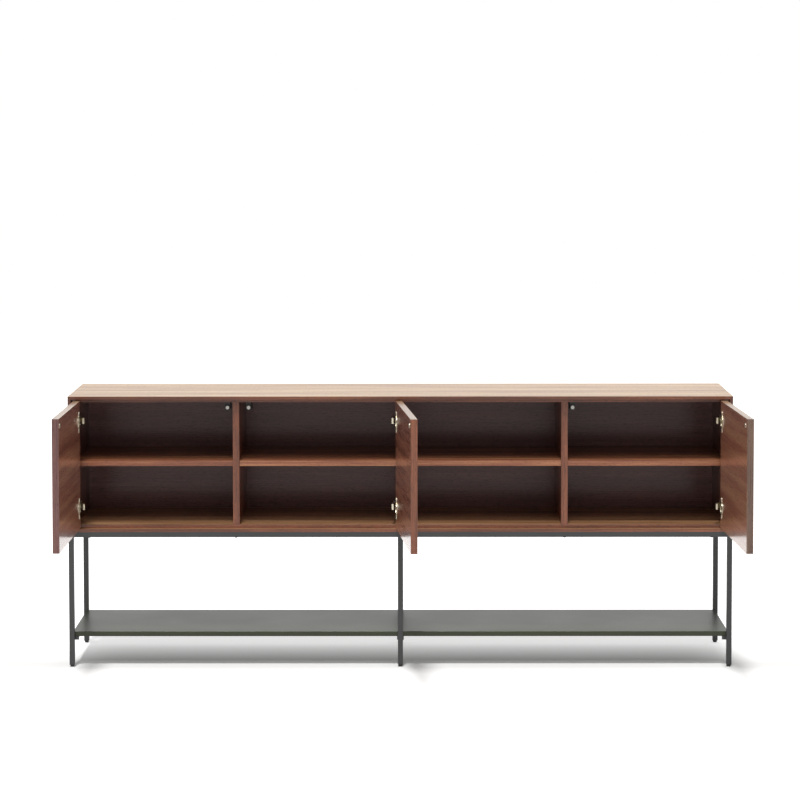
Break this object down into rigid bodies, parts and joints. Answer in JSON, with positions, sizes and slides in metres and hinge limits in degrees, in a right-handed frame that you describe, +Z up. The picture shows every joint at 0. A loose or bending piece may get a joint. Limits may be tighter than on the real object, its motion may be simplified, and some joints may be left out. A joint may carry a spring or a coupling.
{
  "type": "office credenza",
  "caption": "Long low sideboard with hinged doors on concealed hinges, open shelved bays, a square-tube steel stand and a folded steel tray below",
  "frame": {"origin": "on the floor, in the middle of the outline that the cabinet has with its doors open as at rest", "axes": "+X to the viewer's right along the length, +Y from the doors to the back, +Z up"},
  "size_m": [1.9516, 0.8828, 0.8],
  "materials": {
    "walnut_veneer": "open-grain walnut veneer, satin lacquer",
    "frame_paint": "dark grey powder coat, fine texture, semi-gloss",
    "nickel_steel": "nickel-plated pressed steel",
    "black_plastic": "moulded, fine matt texture",
    "glide_plastic": "moulded, smooth",
    "latch_tip": "moulded, slightly glossy"
  },
  "bodies": {
    "cabinet": {"back_panel": "walnut_veneer", "back_rail": "frame_paint", "bottom_panel": "walnut_veneer", "centre_divider": "walnut_veneer", "foot_glides": "glide_plastic", "front_rail": "frame_paint", "left_back_leg": "frame_paint", "left_cross_rail": "frame_paint", "left_divider": "walnut_veneer", "left_front_leg": "frame_paint", "left_hinge_arms": "nickel_steel", "left_hinge_plates": "nickel_steel", "left_latch_housing": "black_plastic", "left_middle_shelf": "walnut_veneer", "left_shelf": "walnut_veneer", "left_side_panel": "walnut_veneer", "lower_tray": "frame_paint", "middle_back_leg": "frame_paint", "middle_cross_rail": "frame_paint", "middle_front_leg": "frame_paint", "middle_hinge_arms": "nickel_steel", "middle_hinge_plates": "nickel_steel", "middle_latch_housing": "black_plastic", "right_back_leg": "frame_paint", "right_cross_rail": "frame_paint", "right_divider": "walnut_veneer", "right_front_leg": "frame_paint", "right_hinge_arms": "nickel_steel", "right_hinge_plates": "nickel_steel", "right_latch_housing": "black_plastic", "right_middle_shelf": "walnut_veneer", "right_shelf": "walnut_veneer", "right_side_panel": "walnut_veneer", "shelf_pins": "nickel_steel", "top_panel": "walnut_veneer", "tray_brackets": "frame_paint"},
    "left_door_leaf": {"left_door": "walnut_veneer", "left_hinge_cups": "nickel_steel", "left_strike_plate": "nickel_steel"},
    "left_latch_plunger_body": {"left_latch_plunger": "latch_tip"},
    "middle_door_leaf": {"middle_door": "walnut_veneer", "middle_hinge_cups": "nickel_steel", "middle_strike_plate": "nickel_steel"},
    "middle_latch_plunger_body": {"middle_latch_plunger": "latch_tip"},
    "right_door_leaf": {"right_door": "walnut_veneer", "right_hinge_cups": "nickel_steel", "right_strike_plate": "nickel_steel"},
    "right_latch_plunger_body": {"right_latch_plunger": "latch_tip"}
  },
  "joints": [
    {"name": "left_door_hinge", "type": "hinge", "parent": "cabinet", "child": "left_door_leaf", "pos_m": [-0.96145, 0.04782, 0.6], "axis": [0, 0, 1], "range_deg": [-19.6, 90.4]},
    {"name": "left_latch_push", "type": "slide", "parent": "cabinet", "child": "left_latch_plunger_body", "axis": [0, 1, 0], "range_m": [-0.00175, 0.00804]},
    {"name": "middle_door_hinge", "type": "hinge", "parent": "cabinet", "child": "middle_door_leaf", "pos_m": [0.00895, 0.04782, 0.6], "axis": [0, 0, -1], "range_deg": [-14.9, 95.1]},
    {"name": "middle_latch_push", "type": "slide", "parent": "cabinet", "child": "middle_latch_plunger_body", "axis": [0, 1, 0], "range_m": [-0.00133, 0.00846]},
    {"name": "right_door_hinge", "type": "hinge", "parent": "cabinet", "child": "right_door_leaf", "pos_m": [0.96145, 0.04782, 0.6], "axis": [0, 0, -1], "range_deg": [-17.8, 92.2]},
    {"name": "right_latch_push", "type": "slide", "parent": "cabinet", "child": "right_latch_plunger_body", "axis": [0, 1, 0], "range_m": [-0.00159, 0.0082]}
  ],
  "couplings": [
    {"joint": "left_latch_push", "follows": "left_door_hinge", "m_per_rad": 0.005093},
    {"joint": "middle_latch_push", "follows": "middle_door_hinge", "m_per_rad": 0.005093},
    {"joint": "right_latch_push", "follows": "right_door_hinge", "m_per_rad": 0.005093}
  ]
}
